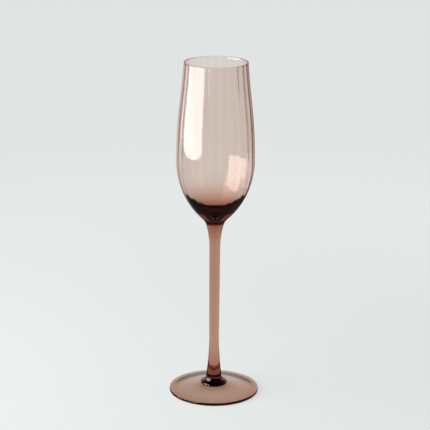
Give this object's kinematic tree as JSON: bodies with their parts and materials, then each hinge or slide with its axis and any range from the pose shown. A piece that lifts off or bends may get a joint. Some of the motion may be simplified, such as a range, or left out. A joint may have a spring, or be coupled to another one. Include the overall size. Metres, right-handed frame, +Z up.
{
  "type": "champagne flute",
  "caption": "Tulip-shaped stemmed flute in smoky rose tinted glass, with a thick base, slender stem and domed foot, for sparkling wine.",
  "frame": {"origin": "middle of the circle that the foot rests on, in the resting plane", "axes": "+Z up the stem to the rim, which is the axis of revolution; X and Y are any two level directions"},
  "size_m": [0.068, 0.068, 0.2565],
  "materials": {
    "foot_glass": "fire-polished",
    "stem_glass": "fire-polished",
    "bowl_glass": "fire-polished"
  },
  "bodies": {
    "root": {"foot": "foot_glass", "stem": "stem_glass", "bowl": "bowl_glass"}
  },
  "joints": []
}
